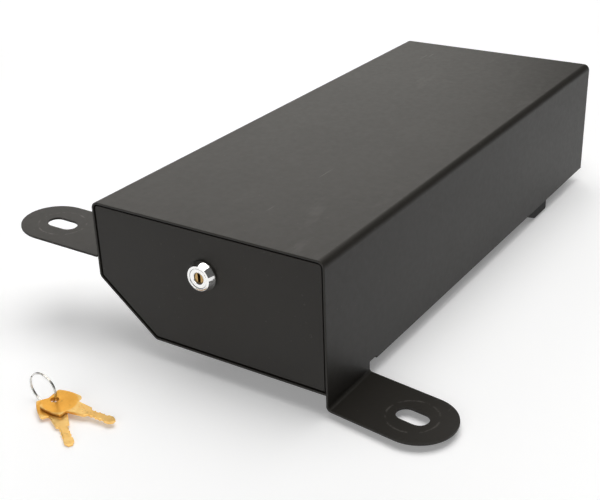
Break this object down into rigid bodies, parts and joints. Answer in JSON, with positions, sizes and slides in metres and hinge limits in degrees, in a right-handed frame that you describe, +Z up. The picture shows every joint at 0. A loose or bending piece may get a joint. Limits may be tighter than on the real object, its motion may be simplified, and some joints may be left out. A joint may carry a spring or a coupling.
{
  "type": "under-seat lock box",
  "caption": "Black steel under-seat lock box: a folded sleeve with slotted bolt tabs, a locking slide-out drawer with a key cam lock, and keys on a ring.",
  "frame": {"origin": "on the flat underside of the sleeve's floor, in the middle of the sleeve's width and length", "axes": "+X to the right of the drawer front, +Y from the front to the rear, +Z up"},
  "size_m": [0.3308, 0.5298, 0.106],
  "materials": {
    "powder_coat": "satin black powder coat on folded sheet steel",
    "glide_plastic": "smooth low-friction plastic strip",
    "bumper_rubber": "matt black rubber",
    "liner_foam": "charcoal felt-faced foam mat",
    "zinc_steel": "bright zinc-plated steel",
    "lock_chrome": "polished chrome plate",
    "key_brass": "golden brass, milled cuts, light wear",
    "ring_steel": "nickel-plated spring wire"
  },
  "bodies": {
    "sleeve": {"sleeve_shell": "powder_coat", "sleeve_rear_panel": "powder_coat", "left_ear_bracket": "powder_coat", "rear_foot": "powder_coat", "strike_plate": "powder_coat", "drawer_stop_left": "powder_coat", "drawer_stop_right": "powder_coat", "floor_glide_left": "glide_plastic", "floor_glide_right": "glide_plastic", "rear_bumper_left": "bumper_rubber", "rear_bumper_right": "bumper_rubber"},
    "drawer": {"drawer_front_panel": "powder_coat", "drawer_tray": "powder_coat", "drawer_back": "powder_coat", "drawer_liner": "liner_foam", "back_rivet_1": "zinc_steel", "back_rivet_2": "zinc_steel", "back_rivet_3": "zinc_steel", "back_rivet_4": "zinc_steel", "lock_housing": "lock_chrome", "lock_washer": "zinc_steel", "lock_nut": "zinc_steel"},
    "lock_core": {"lock_plug": "lock_chrome", "plug_core": "key_brass", "cam": "zinc_steel", "cam_washer": "zinc_steel", "cam_screw": "zinc_steel"},
    "ring": {"key_ring": "ring_steel"},
    "upper_key": {"key_1": "key_brass"},
    "lower_key": {"key_2": "key_brass"}
  },
  "joints": [
    {"name": "drawer_slide", "type": "slide", "parent": "sleeve", "child": "drawer", "axis": [0, -1, 0], "range_m": [0, 0.365]},
    {"name": "lock_turn", "type": "hinge", "parent": "drawer", "child": "lock_core", "pos_m": [0, -0.2135, 0.059], "axis": [0, -1, 0], "range_deg": [0, 90]},
    {"name": "keys_lift", "type": "slide", "parent": "sleeve", "child": "ring", "axis": [0, 0, 1], "range_m": [0, 0.15]},
    {"name": "key_1_swing", "type": "hinge", "parent": "ring", "child": "upper_key", "pos_m": [-0.06341, -0.29007, -0.01017], "axis": [0.0486, -0.034, 0.9982], "range_deg": [-15, 15]},
    {"name": "key_2_swing", "type": "hinge", "parent": "ring", "child": "lower_key", "pos_m": [-0.06541, -0.29, -0.01223], "axis": [0.0486, -0.034, 0.9982], "range_deg": [-15, 15]}
  ]
}
